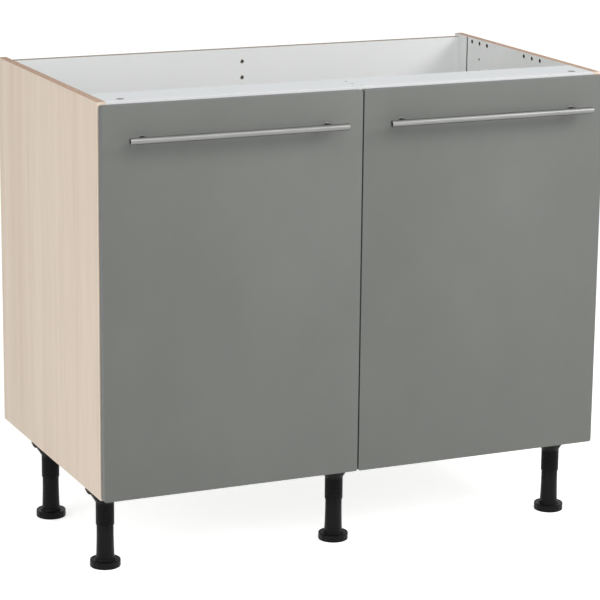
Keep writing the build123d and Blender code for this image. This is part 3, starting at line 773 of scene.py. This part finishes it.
def build_leg(name, material):
    """Tapered tube with its threaded stem, and the foot with grip notches and a ring."""
    place = (*leg_axis(name), 0)
    body = f"{name}_leg"
    tube = bmesh.new()
    lathe(tube, [*TUBE, *repeated(THREAD_TURN, **THREAD_TURNS), *STEM_TOP], place)
    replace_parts(piece(f"{name}_tube", tube, material, body), f"{name}_leg_tube")
    foot = bmesh.new()
    lathe(foot, FOOT, place, steps=FOOT_STEPS)
    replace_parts(piece(f"{name}_foot", foot, material, body), f"{name}_leg_foot")


def build_legs(plastic, metal):
    """All legs, the mounts as one piece and their screws as another."""
    mounts = bmesh.new()
    heads = []
    seat = MOUNT_BOSS[-1][0] * MM
    for name, side in LEGS.items():
        build_leg_mount(mounts, name, side)
        build_leg(name, plastic)
        heads += [((x, y, seat), (0, 0, -1)) for x, y in boss_places(name)]
    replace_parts(piece("leg_mounts", mounts, plastic, "carcass"), "leg_sockets")
    screws("leg_mount_screws", heads, MOUNT_SCREW, metal, "carcass")


# ---- stage --------------------------------------------------------------------------------------
def build_camera():
    """Camera at the solved place, looking the solved way."""
    level = cos(CAMERA_PITCH)
    forward = Vector((sin(CAMERA_YAW) * level, cos(CAMERA_YAW) * level, -sin(CAMERA_PITCH)))
    right = Vector((cos(CAMERA_YAW), -sin(CAMERA_YAW), 0.0))
    down = forward.cross(right)
    image_right = cos(CAMERA_ROLL) * right + sin(CAMERA_ROLL) * down
    image_down = -sin(CAMERA_ROLL) * right + cos(CAMERA_ROLL) * down
    data = bpy.data.cameras.new("camera")
    data.lens = CAMERA_LENS
    data.sensor_width = SENSOR_WIDTH
    data.clip_end = CLIP_END
    camera = bpy.data.objects.new("camera", data)
    columns = Matrix((image_right, -image_down, -forward)).transposed()
    camera.matrix_world = Matrix.Translation(CAMERA_PLACE) @ columns.to_4x4()
    bpy.context.scene.collection.objects.link(camera)
    bpy.context.scene.camera = camera


def area_light(name, place, size, power):
    """Square soft box aimed at the middle of the unit."""
    data = bpy.data.lights.new(name, "AREA")
    data.shape = "SQUARE"
    data.size = size
    data.energy = power
    light = bpy.data.objects.new(name, data)
    aim = (Vector(LIGHT_TARGET) - Vector(place)).to_track_quat("-Z", "Y")
    light.matrix_world = Matrix.Translation(place) @ aim.to_matrix().to_4x4()
    bpy.context.scene.collection.objects.link(light)


def seen_rays(tree):
    """1 for rays of the camera and for clear reflections and views through glass."""
    rays = tree.nodes.new("ShaderNodeLightPath")
    direct = rays.outputs["Is Camera Ray"]
    for kind in ("Is Glossy Ray", "Is Transmission Ray"):
        either = tree.nodes.new("ShaderNodeMath")
        either.operation = "MAXIMUM"
        tree.links.new(direct, either.inputs[0])
        tree.links.new(rays.outputs[kind], either.inputs[1])
        direct = either.outputs[0]
    return direct


def build_world():
    """Even soft sky; the camera and clear reflections see plain white."""
    world = bpy.data.worlds.new("studio")
    bpy.context.scene.world = world
    world.use_nodes = True
    tree = world.node_tree
    soft = tree.nodes["Background"]
    soft.inputs["Color"].default_value = linear(SKY_COLOUR)
    soft.inputs["Strength"].default_value = SKY_STRENGTH
    white = tree.nodes.new("ShaderNodeBackground")
    white.inputs["Color"].default_value = (1, 1, 1, 1)
    white.inputs["Strength"].default_value = 1.0
    blend = tree.nodes.new("ShaderNodeMixShader")
    tree.links.new(seen_rays(tree), blend.inputs[0])
    tree.links.new(soft.outputs[0], blend.inputs[1])
    tree.links.new(white.outputs[0], blend.inputs[2])
    tree.links.new(blend.outputs[0], tree.nodes["World Output"].inputs["Surface"])


def build_floor():
    """Pale floor that keeps the shadow of the unit and looks white to the camera."""
    mesh = bmesh.new()
    bmesh.ops.create_grid(mesh, x_segments=1, y_segments=1, size=FLOOR_SIZE / 2)
    floor = placed("floor", mesh)
    material = bpy.data.materials.new("floor")
    material.use_nodes = True
    tree = material.node_tree
    tree.nodes.remove(tree.nodes["Principled BSDF"])
    matt = tree.nodes.new("ShaderNodeBsdfDiffuse")
    matt.inputs["Color"].default_value = linear(FLOOR_COLOUR)
    glow = tree.nodes.new("ShaderNodeEmission")
    strength = tree.nodes.new("ShaderNodeMath")
    strength.operation = "MULTIPLY"
    strength.inputs[1].default_value = FLOOR_GLOW
    tree.links.new(seen_rays(tree), strength.inputs[0])
    tree.links.new(strength.outputs[0], glow.inputs["Strength"])
    both = tree.nodes.new("ShaderNodeAddShader")
    tree.links.new(matt.outputs[0], both.inputs[0])
    tree.links.new(glow.outputs[0], both.inputs[1])
    tree.links.new(both.outputs[0], tree.nodes["Material Output"].inputs["Surface"])
    floor.data.materials.append(material)


# ---- the unit -----------------------------------------------------------------------------------
def dress_boards():
    """Finishes of the carcass boards and their edge bands."""
    white_edge = band("white_band", WHITE_BAND_LIGHT, WHITE_BAND_DARK, grain=(6, 500, 500))
    wood_edge = band("wood_band", WOOD_LIGHT, WOOD_MID, grain=(500, 500, 6))
    for name, side in SIDES.items():
        dress(f"{name}_side_panel", side_board(name, side), BOARD_BEVEL)
        dress(f"{name}_side_edge_band", wood_edge, BAND_BEVEL)
    # The front rail's darker, cooler tint is painted shade on its top face.
    for node, axis, tint_and_shade in (("bottom_panel", 2, WHITE_DARK), ("front_top_rail", 2, WHITE_SHADED_COOL),
                             ("rear_top_rail", 1, WHITE_LIGHT)):
        dress(node, white_board(node, axis, tint_and_shade), BOARD_BEVEL)
    for node in ("bottom_edge_band", "front_rail_edge_band"):
        dress(node, white_edge, BAND_BEVEL)


def dress_metal(nickel, zinc):
    """Finishes of the hinges and the cam housings."""
    for name in SIDES:
        for kind in ("hinge_cups", "hinge_arms", "hinge_plates", "outer_links", "inner_links"):
            dress(f"{name}_{kind}", nickel, METAL_BEVEL)
    dress("cam_housings", zinc, METAL_BEVEL)


bpy.context.scene.view_settings.view_transform = "Standard"
build_camera()
build_world()
build_floor()
for soft_box in SOFT_BOXES:
    area_light(*soft_box)

steel = brushed_steel()
nickel = plated("nickel", NICKEL_LIGHT, NICKEL_DARK, grain=1400, rough_low=0.2, rough_high=0.36)
zinc = plated("zinc", ZINC_LIGHT, ZINC_DARK, grain=900, rough_low=0.34, rough_high=0.55)
plastic = black_plastic()
dress_boards()
dress_metal(nickel, zinc)
door_grey = door_finish()
end_shade = end_shade_finish()
for name, side in SIDES.items():
    build_door(name, side, door_grey)
    build_handle(name, steel, end_shade)
    handle_screws(name, zinc)
    hinge_fasteners(name, side, nickel)
build_legs(plastic, zinc)
